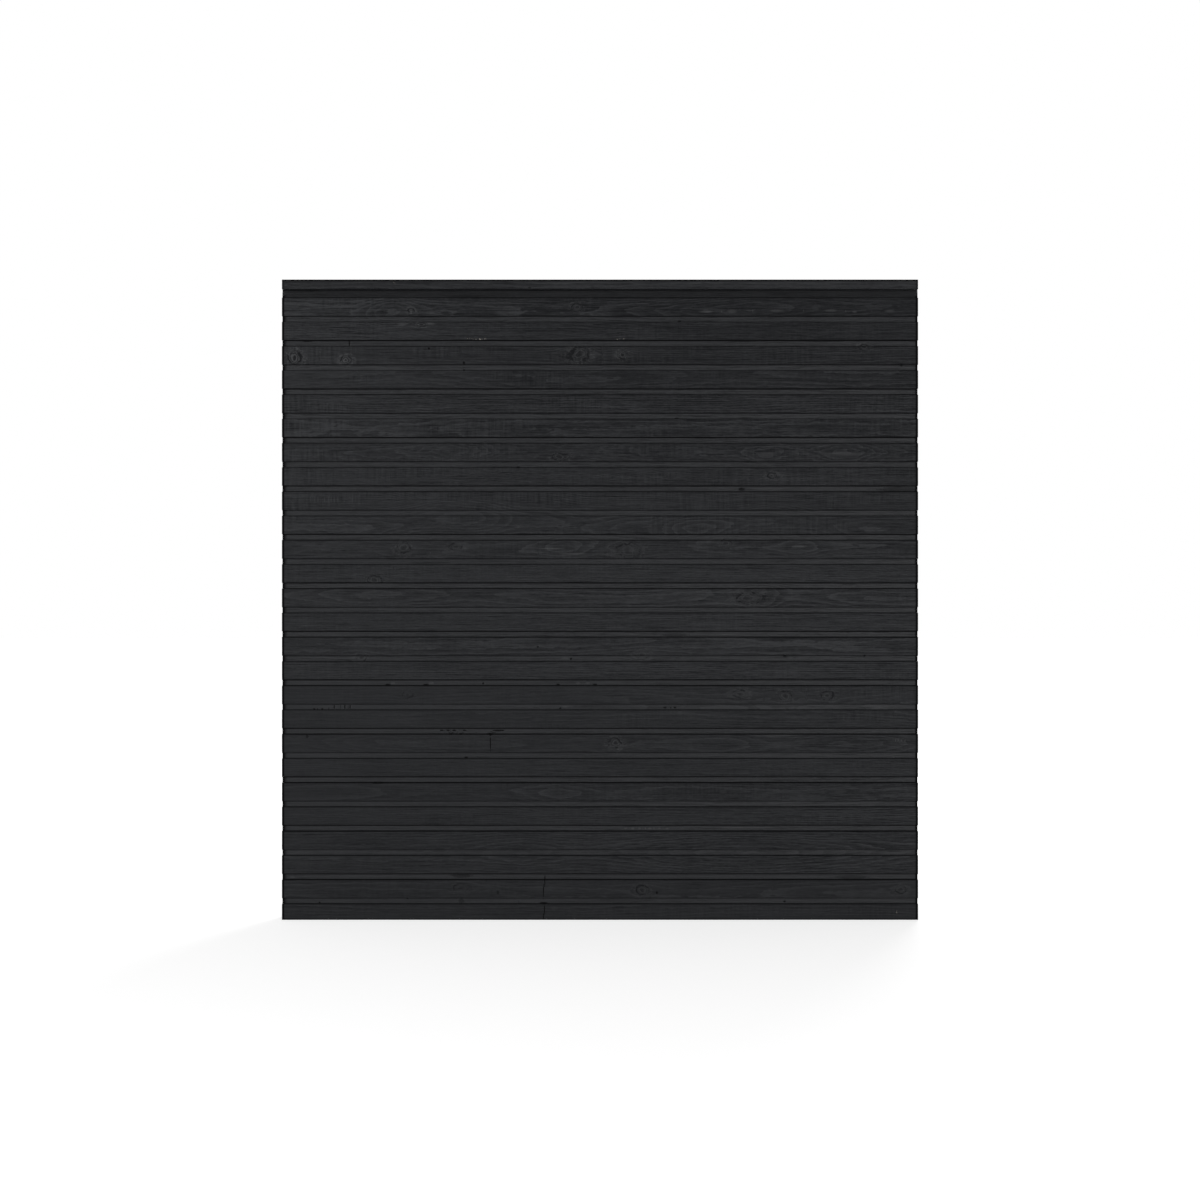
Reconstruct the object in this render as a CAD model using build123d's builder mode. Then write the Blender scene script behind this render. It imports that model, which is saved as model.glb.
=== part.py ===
from build123d import *
from math import ceil, radians, tan
import os

# A closed garden fence panel of horizontal tongued and grooved planks, seen from its smooth
# profiled front. X runs along the panel, Y from the front to the back and Z up. The origin is
# under the middle of the panel, level with its lower edge. All sizes are in millimetres.

# Panel
panel_width = 1800.0
panel_height = 1809.0

# Plank section: two flat blocks, a milled groove between them and a recess above them
plank_thickness = 26.0
block_face = 51.65
groove_width = 17.0
groove_depth = 9.0
groove_draft = 8.0
arris_radius = 1.5
back_chamfer = 1.0

# Tongue and slot
tongue_thickness = 8.0
tongue_length = 7.5
tongue_chamfer = 1.5
front_shoulder = 1.5
joint_gap = 1.0
slot_side_clearance = 0.3
slot_end_clearance = 1.0

# Cap board
cap_thickness = 27.0
cap_front_overhang = 18.0
cap_back_overhang = 6.0
cap_tongue_entry = 3.0
cap_end_inset = 3.0
cap_arris_radius = 2.0

# Battens behind the planks
batten_width = 45.0
batten_depth = 45.0
batten_arris_radius = 3.0

# Countersunk screws, drawn with flats all round because they are small and many
screw_sides = 12
screw_radius = 2.5
screw_head_radius = 5.0
screw_head_height = 2.5
screw_tip_radius = 0.5
screw_tip_length = 6.0
plank_screw_bite = 15.0
cap_screw_bite = 33.0
screw_clearance = 0.1
screw_hole_spare = 1.5

# Sizes that follow from the ones above
block_pitch = block_face + groove_width
plank_pitch = 2 * block_pitch
wall_slope = groove_depth * tan(radians(groove_draft))
tongue_front = groove_depth + front_shoulder
tongue_back = tongue_front + tongue_thickness
cap_bottom = panel_height - cap_thickness
planks_top = cap_bottom - (tongue_length - cap_tongue_entry)
plank_count = ceil(planks_top / plank_pitch)
cap_depth = cap_front_overhang + plank_thickness + batten_depth + cap_back_overhang
front_y = cap_front_overhang - cap_depth / 2
plank_back_y = front_y + plank_thickness
batten_back_y = plank_back_y + batten_depth
batten_middle_y = plank_back_y + batten_depth / 2
plank_screw_length = batten_depth + plank_screw_bite
cap_screw_length = cap_thickness + cap_screw_bite

outer_batten_x = (panel_width - batten_width) / 2
batten_places = {"left": -outer_batten_x, "middle": 0.0, "right": outer_batten_x}

# The lower edge of each plank as milled, and the middle of its upper block. The lowest plank is
# ripped to bring the panel to its height, so its own edge would lie below the panel.
plank_bottoms = [planks_top - number * plank_pitch for number in range(1, plank_count + 1)]
screw_levels = []
for bottom in plank_bottoms:
    block_low = max(bottom + block_pitch, 0)
    block_high = bottom + block_pitch + block_face
    screw_levels.append((block_low + block_high) / 2)

os.makedirs("parts", exist_ok=True)


def section_plane(height):
    """Plane across the panel: its x is the depth behind the front faces, its y is up."""
    return Plane(origin=(0, front_y, height), x_dir=(0, 1, 0), z_dir=(1, 0, 0))


def facing_back(x, level):
    """Plane on the back of a batten, its normal pointing away from the panel."""
    return Plane(origin=(x, batten_back_y, level), x_dir=(-1, 0, 0), z_dir=(0, 1, 0))


def facing_up(x):
    """Plane on top of the cap board, over the middle of a batten."""
    return Plane(origin=(x, batten_middle_y, panel_height))


def make_screw(length):
    """A countersunk screw with its flat head at the origin, pointing down."""
    with BuildPart() as screw:
        for radius, depth in (
            (screw_head_radius, 0),
            (screw_radius, screw_head_height),
            (screw_radius, length - screw_tip_length),
            (screw_tip_radius, length),
        ):
            with BuildSketch(Plane.XY.offset(-depth)):
                RegularPolygon(radius, screw_sides)
        loft(ruled=True)
    return screw.part


def make_screw_hole(length):
    """What is cut away for such a screw, a little wider all round and a little deeper."""
    with BuildPart() as hole:
        for radius, depth in (
            (screw_head_radius + screw_clearance, -screw_hole_spare),
            (screw_head_radius + screw_clearance, 0),
            (screw_radius + screw_clearance, screw_head_height),
            (screw_radius + screw_clearance, length + screw_hole_spare),
        ):
            with BuildSketch(Plane.XY.offset(-depth)):
                RegularPolygon(radius, screw_sides)
        loft(ruled=True)
    return hole.part


plank_screw = make_screw(plank_screw_length)
plank_screw_hole = make_screw_hole(plank_screw_length)
cap_screw = make_screw(cap_screw_length)
cap_screw_hole = make_screw_hole(cap_screw_length)

# Planks, numbered from the top. Each tongue stands up into the slot of the plank above it.
# The back shoulders touch, and a narrow gap is left in front at the top of each recess.
for number, (bottom, level) in enumerate(zip(plank_bottoms, screw_levels), start=1):
    with BuildPart() as plank:
        with BuildSketch(section_plane(bottom)) as section:
            with BuildLine():
                Polyline(
                    (0, 0),
                    (0, block_face),
                    (groove_depth, block_face + wall_slope),
                    (groove_depth, block_pitch - wall_slope),
                    (0, block_pitch),
                    (0, block_pitch + block_face),
                    (groove_depth, block_pitch + block_face + wall_slope),
                    (groove_depth, plank_pitch - joint_gap),
                    (tongue_front, plank_pitch - joint_gap),
                    (tongue_front, plank_pitch + tongue_length),
                    (tongue_back, plank_pitch + tongue_length),
                    (tongue_back, plank_pitch),
                    (plank_thickness, plank_pitch),
                    (plank_thickness, 0),
                    (tongue_back + slot_side_clearance, 0),
                    (tongue_back + slot_side_clearance, tongue_length + slot_end_clearance),
                    (tongue_front - slot_side_clearance, tongue_length + slot_end_clearance),
                    (tongue_front - slot_side_clearance, 0),
                    close=True,
                )
            make_face()
            front_corners = section.vertices().group_by(Axis.X)[0]
            fillet(front_corners, arris_radius)
            tongue_corners = section.vertices().group_by(Axis.Y)[-1]
            chamfer(tongue_corners, tongue_chamfer)
            back_corners = section.vertices().group_by(Axis.X)[-1]
            chamfer(back_corners, back_chamfer)
        extrude(amount=panel_width / 2, both=True)
        with Locations(*[facing_back(x, level) for x in batten_places.values()]):
            add(plank_screw_hole, mode=Mode.SUBTRACT)
        if number == plank_count:
            # The lowest plank is ripped along its lower edge to bring the panel to height.
            split(bisect_by=Plane.XY, keep=Keep.TOP)
    plank.part.label = f"plank_{number:02d}"
    export_step(plank.part, f"parts/plank_{number:02d}.step")

# Cap board: it lies on the battens, and a shallow groove takes the tip of the top tongue. Its ends
# stay just inside the ends of the planks, so that only they meet the posts.
with BuildPart() as cap_board:
    with BuildSketch(section_plane(cap_bottom)) as cap_section:
        with Locations((-cap_front_overhang, 0)):
            Rectangle(cap_depth, cap_thickness, align=(Align.MIN, Align.MIN))
        fillet(cap_section.vertices(), cap_arris_radius)
        with Locations((tongue_front - slot_side_clearance, 0)):
            Rectangle(
                tongue_thickness + 2 * slot_side_clearance,
                cap_tongue_entry + slot_end_clearance,
                align=(Align.MIN, Align.MIN),
                mode=Mode.SUBTRACT,
            )
    extrude(amount=panel_width / 2 - cap_end_inset, both=True)
    with Locations(*[facing_up(x) for x in batten_places.values()]):
        add(cap_screw_hole, mode=Mode.SUBTRACT)
cap_board.part.label = "cap_board"
export_step(cap_board.part, "parts/cap_board.step")

# Battens: one flush with each end of the panel and one in the middle.
for side, x in batten_places.items():
    with BuildPart() as batten:
        with BuildSketch(Plane.XY):
            with Locations((x, batten_middle_y)):
                RectangleRounded(batten_width, batten_depth, batten_arris_radius)
        extrude(amount=cap_bottom)
        with Locations(*[facing_back(x, level) for level in screw_levels]):
            add(plank_screw_hole, mode=Mode.SUBTRACT)
        with Locations(facing_up(x)):
            add(cap_screw_hole, mode=Mode.SUBTRACT)
    batten.part.label = f"batten_{side}"
    export_step(batten.part, f"parts/batten_{side}.step")

# Screws driven from behind, through each batten into every plank.
for side, x in batten_places.items():
    with BuildPart() as plank_screws:
        with Locations(*[facing_back(x, level) for level in screw_levels]):
            add(plank_screw)
    plank_screws.part.label = f"plank_screws_{side}"
    export_step(plank_screws.part, f"parts/plank_screws_{side}.step")

# Screws driven down through the cap board into the end grain of the battens.
with BuildPart() as cap_screws:
    with Locations(*[facing_up(x) for x in batten_places.values()]):
        add(cap_screw)
cap_screws.part.label = "cap_screws"
export_step(cap_screws.part, "parts/cap_screws.step")
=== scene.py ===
"""Looks for a closed garden fence panel of black painted, tongued and grooved planks.

Laid out as an add-on and run as a script. Everything is in metres in the panel's own frame: X runs
along the planks, Y from the profiled front to the battens behind, Z up from the lower edge.
"""

import math

import bmesh
import bpy
import numpy as np
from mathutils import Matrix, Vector


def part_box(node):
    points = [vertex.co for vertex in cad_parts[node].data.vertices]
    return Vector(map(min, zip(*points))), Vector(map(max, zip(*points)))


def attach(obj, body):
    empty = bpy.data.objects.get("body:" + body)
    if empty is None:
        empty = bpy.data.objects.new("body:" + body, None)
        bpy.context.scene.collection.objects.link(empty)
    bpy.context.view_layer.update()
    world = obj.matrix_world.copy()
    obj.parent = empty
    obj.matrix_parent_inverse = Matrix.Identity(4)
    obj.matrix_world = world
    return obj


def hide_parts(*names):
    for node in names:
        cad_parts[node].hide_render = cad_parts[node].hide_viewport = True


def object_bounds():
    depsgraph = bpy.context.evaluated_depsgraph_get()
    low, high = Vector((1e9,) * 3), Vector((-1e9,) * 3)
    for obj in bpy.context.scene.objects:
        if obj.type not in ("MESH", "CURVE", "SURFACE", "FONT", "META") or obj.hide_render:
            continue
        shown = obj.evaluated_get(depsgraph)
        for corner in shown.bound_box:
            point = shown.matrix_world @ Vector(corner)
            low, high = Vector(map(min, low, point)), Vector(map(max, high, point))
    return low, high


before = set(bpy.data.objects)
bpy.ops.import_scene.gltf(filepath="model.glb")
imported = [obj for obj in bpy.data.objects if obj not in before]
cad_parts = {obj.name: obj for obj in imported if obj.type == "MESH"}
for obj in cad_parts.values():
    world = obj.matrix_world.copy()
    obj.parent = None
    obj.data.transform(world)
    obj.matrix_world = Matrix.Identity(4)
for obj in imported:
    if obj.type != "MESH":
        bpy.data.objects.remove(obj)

bl_info = {
    "name": "Painted Plank Fence Panel",
    "version": (1, 0, 0),
    "blender": (4, 5, 0),
    "location": "View3D > Sidebar > Fence",
    "description": "Builds and finishes a closed fence panel of painted tongued and grooved planks",
    "category": "Add Mesh",
}

MM = 0.001

# Painted shade where little light falls, in corners, at joints and under the cap, and ends and edges painted
# darker: how dark each is, and up to where it is dark and from where on it isn't.
CREASE_REACH = 1.6 * MM
CREASE_SHARE = 0.97
JOINT_TONE = 1.0
GROOVE_LOW_TONE = 0.65
GROOVE_HIGH_TONE = 0.35
UNDER_CAP = 0.50
CAP_END_TONE = 0.6
END_FACE_TONE = 0.2
END_DARK, END_REACH = 5.6 * MM, 7.4 * MM
LOW_EDGE_DARK, LOW_EDGE_REACH = 2.0 * MM, 4.0 * MM
CAP_EDGE_DARK, CAP_EDGE_REACH = 4.6 * MM, 6.2 * MM
FLOOR_END = (4.4 * MM, 15.4 * MM)

# Painted light and shade over the panel: how much lighter or darker the paint is painted.
CAP_SHADE = 0.16
CAP_SHADE_START = -0.08
SHADE_FROM = 0.55
SHADE_LEFT = 0.10
SHADE_RIGHT = 0.24
SHADE_LOW_FACE = -0.05
SHADE_LOW_FLOOR = 0.12

# Paint and blemishes: from STREAK_TONE on a light mark is chipped wood.
PAINT_GLOSS = 0.06
STREAK_TONE = 0.5
STREAK_EDGE = 0.1
MARK_DEPTH = 14.0 * MM
MARK_SOFTNESS = 0.8 * MM
MARK_FADE = 1.2
KNOT_RISE = 0.25 * MM
MOAT_DEPTH, MOAT_PLACE, MOAT_WIDTH = 0.3 * MM, 1.1, 0.25
NOWHERE = (60.0, 60.0, 0.0)
HOLE_COLOUR = (0.001, 0.001, 0.001, 1.0)
STEEL_DARK = 0.55
STEEL_GRAIN = (700.0, 700.0, 700.0)

# The heart's wander in depth and in height: its pace, where its wave starts and its size.
WANDER = ((1.0, 20.3, 1.0), (0.7, 11.9, 1.6))

# Worn edges: two waves, each with its length and how far it jumps from height to height.
EDGE_REACH = 2.2 * MM
EDGE_WEAR = 0.9 * MM
EDGE_WAVES = ((11.0 * MM, 731.0), (90.0 * MM, 377.0))

# Meshes: steps along the members and across their sections, rings at blemishes, and the screws.
CORNER_STEPS = 4
COARSE = 4
MERGE = 0.001 * MM
BATTEN_STEP = 14.0 * MM
LEAST_STEP = 0.6 * MM
MARK_STEP = 1.6 * MM
MARK_SPARE = 2.5 * MM
MARK_RINGS = (3, 24)
FINE_MARK = 20.0 * MM
FINE_KNOT = 30.0 * MM
BOW_LENGTH = 0.55
SEED_STEP = 3.7
BATTEN_SEED = 60
CAP_SEED = 99
CAP_WEAR_SEED = 77
WAVE_VALUES = 512
SHARP_ANGLE = math.radians(35)
SCREW_SIDES = 24
SCREW_LOBES = 6
SCREW_EDGE = 0.15 * MM
HOLE_SPARE = 1.5 * MM

# Camera, floor, world and lamps
PHOTO_PIXELS = 1200
PANEL_PIXELS = 636.2
CAMERA_DISTANCE = 5.5
CAMERA_HEIGHT = 0.905
SENSOR = 0.036
WHITE = (1.0, 1.0, 1.0, 1.0)
FLOOR_HALF = 40.0
FLOOR_WHITE = 0.86
FLOOR_NEAR_GLOW = 0.75
FLOOR_NEAR, FLOOR_FAR = 2.5, 5.5
WORLD_LIGHT = 0.28
# Each lamp's place, what it aims at, its size and its power in watts.
LAMPS = {
    "left": ((-3.8, -5.5, 2.1), (0.0, 0.0, 1.0), 1.8, 185.0),
    "right": ((2.0, -5.5, 0.8), (0.2, 0.0, 0.8), 1.4, 95.0),
    "back": ((1.5, 4.5, 3.2), (0.0, 0.0, 0.8), 2.6, 160.0),
}

# Noise in the wood, by what it makes: how fast it changes along X, Y and Z, detail and roughness.
PATTERNS = {
    "drift": ((1.8, 14.0, 14.0), 1.0, 0.5),
    "ripple": ((20.0, 70.0, 70.0), 2.0, 0.6),
    "blot": ((110.0, 130.0, 130.0), 2.0, 0.6),
    "shred": ((160.0, 330.0, 330.0), 2.0, 0.6),
    "bulge": ((45.0, 60.0, 60.0), 1.0, 0.5),
    "fibre": ((24.0, 1200.0, 1200.0), 2.0, 0.6),
    "strand": ((5.0, 300.0, 300.0), 3.0, 0.6),
    "fleck": ((75.0, 420.0, 420.0), 2.0, 0.7),
    "check": ((9.0, 380.0, 380.0), 1.0, 0.5),
    "patch": ((3.4, 15.0, 15.0), 2.0, 0.5),
    "chatter": ((130.0, 5.0, 9.0), 2.0, 0.7),
    "cloud": ((5.0, 22.0, 22.0), 2.0, 0.5),
    "grit": ((260.0, 420.0, 420.0), 2.0, 0.6),
    "crumb": ((210.0, 420.0, 420.0), 2.0, 0.5),
}

CAD_LOW, CAD_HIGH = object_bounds()
PLANK_NODES = sorted(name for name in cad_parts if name.startswith("plank_") and name[-2:].isdigit())
BATTEN_NODES = sorted(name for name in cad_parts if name.startswith("batten_"))
SCREW_NODES = sorted(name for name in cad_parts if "screws" in name)
FRONT_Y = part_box(PLANK_NODES[0])[0].y
TOP_PLANK_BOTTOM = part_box(PLANK_NODES[0])[0].z
PLANK_PITCH = TOP_PLANK_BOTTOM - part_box(PLANK_NODES[1])[0].z


def metres(*values):
    """Lengths given in millimetres."""
    return [value / 1000 for value in values]


class Knot:
    """A knot: place along the panel, height above its plank's lower edge and half its height, in
    millimetres, how much longer than high it is, and how strongly it shows."""

    def __init__(self, x, height, radius, stretch=1.25, strength=1.0):
        self.x, self.height, self.radius = metres(x, height, radius)
        self.half_length, self.half_height = self.radius * stretch, self.radius
        self.strength = strength


class Mark:
    """An oval blemish: tone -1 is a dark hole, up to 0.5 a streak of worn paint, above it chipped wood.

    depth is how far it is sunk. It and the place and size are in millimetres.
    """

    def __init__(self, x, height, half_length, half_height, tone, depth=0):
        self.x, self.height, self.depth = metres(x, height, depth)
        self.half_length, self.half_height = metres(half_length, half_height)
        self.tone = tone


class Growth:
    """How a plank was cut from its tree: where the tree's heart lies and how far apart its rings are.

    heart is the heart's depth behind the face and its height in the plank, ring the rings' spacing,
    sway how far the heart wanders and reach over what length. saw and vivid are how strongly the
    saw's marks and the grain show at the left and the right end. eyes are places (x, half length,
    lift) where the rings bulge through the face as ovals, and ripple is how far the rings wave to
    and fro. Lengths are in millimetres.
    """

    def __init__(self, heart, ring, sway, reach, seed, saw, vivid, eyes=(), ripple=4):
        self.heart_depth, self.heart_height = metres(*heart)
        self.ring, self.sway, self.reach, self.ripple = metres(ring, sway, reach, ripple)
        self.seed, self.saw, self.vivid = seed, saw, vivid
        self.eyes = [metres(*eye) for eye in eyes]


# The planks' growth, from the top.
GROWTH = (
    Growth((52, 88), 3.6, 6, 400, 1, (0.5, 0.3), (1.35, 0.95), ((-590, 70, 12), (450, 200, 10))),
    Growth((85, 40), 3.4, 5, 450, 2, (1.3, 0.3), (0.75, 1.0)),
    Growth((120, 20), 3.4, 4, 500, 3, (0.9, 0.4), (1.1, 1.4)),
    Growth(
        (42, 94), 3.6, 6, 250, 4, (1.0, 0.4), (0.85, 1.15),
        ((-400, 100, 16), (475, 70, 9), (687, 90, 10)), 9,
    ),
    Growth((50, 30), 4.2, 12, 160, 5, (1.1, 0.7), (0.95, 0.85)),
    Growth((46, 98), 4.2, 6, 240, 6, (0.5, 0.2), (0.75, 1.1), ((-100, 80, 8), (566, 60, 7))),
    Growth((42, 95), 4.2, 7, 280, 7, (0.3, 0.4), (0.75, 1.2), ((461, 50, 8),)),
    Growth((60, 100), 4, 5, 340, 8, (0.3, 0.3), (0.8, 1.25)),
    Growth((90, 60), 3.6, 6, 400, 9, (0.4, 0.9), (0.30, 0.85)),
    Growth((52, 90), 4, 8, 260, 10, (0.3, 0.3), (0.40, 1.05), ((370, 100, 7),)),
    Growth((66, 95), 4, 6, 360, 11, (0.3, 0.5), (0.40, 1.2), ((-113, 90, 6), (679, 60, 1.2))),
    Growth((56, 62), 5.2, 5, 400, 12, (0.2, 0.2), (0.60, 1.25), ((-220, 120, 12), (420, 300, 26)), 6),
    Growth((85, 70), 3.8, 6, 380, 13, (0.4, 0.6), (0.50, 0.55)),
)

KNOTS = {
    "plank_01": (Knot(-535, 84, 6, 1.6, 0.8), Knot(-505, 44, 6, 3.0, 0.9), Knot(-65, 94, 11, 1.4, 0.5)),
    "plank_02": (
        Knot(-863, 88, 18, 1.1), Knot(-719, 81, 12, 1.3), Knot(-60, 96, 20, 1.4, 0.6),
        Knot(64, 95, 11, 1.2, 0.8), Knot(747, 118, 10, 1.3, 0.6),
    ),
    "plank_04": (Knot(-113, 82, 11, 2.0, 0.7), Knot(486, 28, 9, 1.6, 0.6)),
    "plank_06": (
        Knot(-555, 99, 17, 1.1, 0.45), Knot(-408, 102, 11, 1.8, 0.3), Knot(79, 92, 21, 1.7, 0.35),
        Knot(356, 113, 11, 1.4, 0.45), Knot(-637, 8, 13, 1.5, 0.5),
    ),
    "plank_07": (Knot(425, 95, 17, 2.4, 0.4),),
    "plank_08": (Knot(-676, 62, 10, 1.5, 0.4), Knot(119, 70, 12, 1.5, 0.35)),
    "plank_09": (
        Knot(-545, 95, 10, 1.5, 0.2), Knot(396, 97, 13, 1.5, 0.35), Knot(524, 92, 14, 1.3, 0.45),
        Knot(643, 93, 13, 1.5, 0.35),
    ),
    "plank_10": (Knot(42, 96, 15, 1.2, 0.6),),
    "plank_13": (Knot(-395, 98, 13, 1.6, 0.2), Knot(119, 92, 14, 1.3, 0.4), Knot(851, 92, 11, 1.4, 0.35)),
}


def row(places, height, half_length, half_height, tone, depth=1):
    """Like marks one after another along a plank."""
    return [Mark(x, height, half_length, half_height, tone, depth) for x in places]


def alike(tone, depth, *ovals):
    """Marks of the same tone and depth, each (x, height, half length, half height)."""
    return [Mark(*oval, tone, depth) for oval in ovals]


MARKS = {
    "cap_board": (
        Mark(-580, 19, 3.5, 3.5, 0.8, 0.6),
        Mark(-198, 3, 5, 3, -0.6, 1.5),
        *alike(0.5, 1, (328, 25, 7, 3), (741, 24, 4, 3)),
    ),
    "plank_01": (
        *row((-374, -363, -353, -340, -324), 3.5, 3.8, 2.2, 1.0),
        Mark(59, 3, 12, 2, 0.6, 1),
        Mark(226, 54, 5, 3, -0.7, 1),
        Mark(-535, 80, 6, 10, 0.20),
        *alike(0.26, 0, (-560, 45, 22, 6), (-480, 46, 20, 5)),
        Mark(303, 80, 26, 4.5, 0.32),
        Mark(372, 82, 20, 8, 0.24),
        *alike(0.26, 0, (500, 83, 26, 5), (650, 84, 24, 5), (720, 80, 9, 4), (820, 83, 20, 5)),
    ),
    "plank_02": (
        *alike(-0.9, 2, (-484, 114, 3, 3), (-385, 73, 3, 4), (-385, 53, 3, 2)),
        Mark(854, 67, 3, 3, -0.7, 2),
        *alike(-0.9, 1, (-710, 129, 2, 8), (-829, 135, 12, 1)),
    ),
    "plank_03": (
        Mark(218, 55, 7, 1, -0.9, 1),
    ),
    "plank_04": (
        Mark(-232, 53, 6, 2, -0.9, 2),
        Mark(475, 90, 34, 9, 0.20),
        Mark(687, 90, 75, 9, 0.22),
    ),
    "plank_05": (
        Mark(402, 128, 9, 4, -0.8, 2),
        Mark(487, 128, 75, 8, 0.17),
        *row((-820, -798, -779, -761, -742), 98, 2.6, 13, 0.15, 0),
        Mark(850, 127, 60, 7, -0.35),
    ),
    "plank_06": (
        Mark(-140, 97, 55, 3, 0.26),
        *alike(0.24, 0, (-70, 82, 60, 3), (566, 104, 30, 4)),
    ),
    "plank_08": (
        *alike(-0.9, 2, (-176, 93, 3, 2), (-82, 59, 3, 2)),
        Mark(-98, 61, 16, 5, 0.20),
        Mark(523, 68, 4, 2, -0.9, 2),
        Mark(540, 62, 14, 5, 0.20),
        Mark(749, 68, 3, 2, -0.9, 2),
        Mark(68, 128, 60, 3, 0.26),
        Mark(212, 127, 36, 6, -0.28),
        Mark(353, 129, 85, 3, 0.30),
    ),
    "plank_09": (
        Mark(-331, 127, 2.8, 2.2, -0.9, 1),
        Mark(-331, 127, 8, 6, 0.22),
        *row((-601, -493), 123, 8, 2.2, -0.9),
        *row((-588, -478, -62, -35), 128, 10, 5, 0.20),
        *row((-119, -14), 124, 6, 2, -0.9),
        *row((-809, -787), 54, 3.2, 2.2, -0.9),
        *row((-753, -723, -708), 60, 1.8, 6, -0.8),
        Mark(-113, 56, 3, 2, -0.9, 1),
        Mark(-98, 61, 15, 5, 0.20),
        *row((184, 212), 58, 4, 2, -0.9, 2),
    ),
    "plank_10": (
        *row((-448, -431, -413, -384), 131, 5.5, 1.8, -0.9),
        *row((-422, -395), 121, 5.5, 1.8, -0.9),
        *alike(-0.9, 1, (-287, 131, 17, 2), (-312, 121, 11, 2), (-310, 95, 1.4, 22)),
        Mark(-828, 114, 4, 3.5, -0.6, 1),
        Mark(-379, 54, 6, 2, -0.9, 2),
        Mark(500, 117, 110, 3, 0.28),
        *row((836, 845, 854, 863), 103, 1.8, 6, 0.42),
    ),
    "plank_11": (
        Mark(-628, 120, 18, 2, -1.0, 2),
        Mark(348, 95, 14, 8, 0.14),
        Mark(679, 96, 32, 8, 0.13),
    ),
    "plank_12": (
        *row((73, 93, 112, 141, 168, 190), 128, 6.5, 3.5, 0.34),
        Mark(430, 130, 170, 2, 0.32),
    ),
    "plank_13": (
        Mark(-391, 131, 30, 6, -0.5, 0.5),
        *alike(-0.95, 0.6, (-156, 119, 1.3, 16), (-160, 90, 1.3, 16)),
        Mark(-159, 54, 12, 1.8, -0.95, 1),
        *alike(-0.95, 0.6, (-157, 36, 1.3, 14), (-160, 16, 1.3, 8)),
        Mark(-130, 40, 14, 10, 0.07),
        Mark(161, 84, 3, 3, -0.9, 2),
        Mark(714, 127, 45, 6, -0.30),
        Mark(840, 30, 3, 3, 0.8, 0.6),
        *alike(-0.9, 1, (-795, 55, 3, 2), (-546, 67, 3, 2)),
        Mark(-393, 60, 8, 7, -0.40),
        Mark(-289, 85, 4, 5, -0.55, 0.5),
        Mark(-872, 127, 12, 5, 0.16),
        Mark(60, 60, 70, 7, -0.18),
        Mark(523, 58, 4, 2, -0.9, 2),
    ),
}


def length(name, default, description):
    """A size that a user can change, with its default in millimetres."""
    return bpy.props.FloatProperty(
        name=name, description=description, default=default / 1000, min=0.0, unit="LENGTH", precision=4
    )


def colour(name, default, description):
    """A colour that a user can change."""
    return bpy.props.FloatVectorProperty(
        name=name, description=description, default=default, size=3, min=0.0, max=1.0, subtype="COLOR"
    )


class FencePlankSettings(bpy.types.PropertyGroup):
    """Sizes of the plank section, as milled."""

    thickness: length("Thickness", 26, "Plank thickness")
    block_face: length("Block Face", 51.65, "Height of each flat block face")
    groove_width: length("Groove Width", 17, "Width of a groove at the face")
    groove_depth: length("Groove Depth", 9, "Depth of grooves and recesses behind the face")
    groove_draft: bpy.props.FloatProperty(
        name="Groove Draft", description="Slope of the groove walls", default=math.radians(8), subtype="ANGLE"
    )
    arris: length("Arris", 1.5, "Rounding of the front edges")
    back_chamfer: length("Back Chamfer", 1, "Chamfer of the back edges")
    tongue_thickness: length("Tongue Thickness", 8, "Thickness of the tongue")
    tongue_length: length("Tongue Length", 7.5, "How far the tongue stands up")
    tongue_chamfer: length("Tongue Chamfer", 1.5, "Chamfer of the tongue's nose")
    front_shoulder: length("Front Shoulder", 1.5, "Wood in front of the tongue")
    joint_gap: length("Joint Gap", 1, "Gap left open at the front of a joint")
    slot_side: length("Slot Side Clearance", 0.3, "Clearance beside the tongue")
    slot_end: length("Slot End Clearance", 1, "Clearance over the tongue")
    step_along: length("Step Along", 8, "Mesh step along the panel")
    step_across: length("Step Across", 3.2, "Mesh step across the face")
    bow: length("Bow", 0.35, "How far a plank is out of straight")


class FenceRailSettings(bpy.types.PropertyGroup):
    """Sizes of the cap board, the battens and the screws."""

    cap_arris: length("Cap Arris", 2, "Rounding of the cap board's edges")
    cap_tongue_entry: length("Cap Tongue Entry", 3, "How far the top tongue stands in the cap board")
    batten_arris: length("Batten Arris", 3, "Rounding of the battens' edges")
    screw_head: length("Screw Head", 5, "Radius of a screw head")
    screw_head_height: length("Screw Head Height", 2.5, "Height of a screw's countersunk head")
    screw_shank: length("Screw Shank", 2.5, "Radius of a screw shank")
    screw_tip: length("Screw Tip", 6, "Length of a screw's point")
    screw_drive: length("Screw Drive", 1.8, "Radius and depth of the drive in a screw head")
    screw_clearance: length("Screw Clearance", 0.1, "Clearance round a screw")


class FenceFinishSettings(bpy.types.PropertyGroup):
    """Colours of the finishes."""

    paint: colour("Paint", (0.0045, 0.0048, 0.0057), "Black paint where it lies thick")
    paint_thin: colour("Thin Paint", (0.0340, 0.0350, 0.0375), "The same paint where it has soaked in")
    # Colour of the painted shade in the corners of the grooves, at the joints and under the cap
    painted_shade: colour("Recess Paint", (0.0008, 0.0008, 0.0010), "Paint in the corners of the grooves")
    worn: colour("Worn Paint", (0.100, 0.101, 0.104), "The same paint where it is worn down to the wood")
    bare: colour("Bare Wood", (0.30, 0.28, 0.25), "Wood where the paint has chipped off")
    screw: colour("Screw", (0.10, 0.10, 0.11), "Coated steel of the screws")
    floor: colour("Floor", (0.62, 0.62, 0.62), "Floor")


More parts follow.
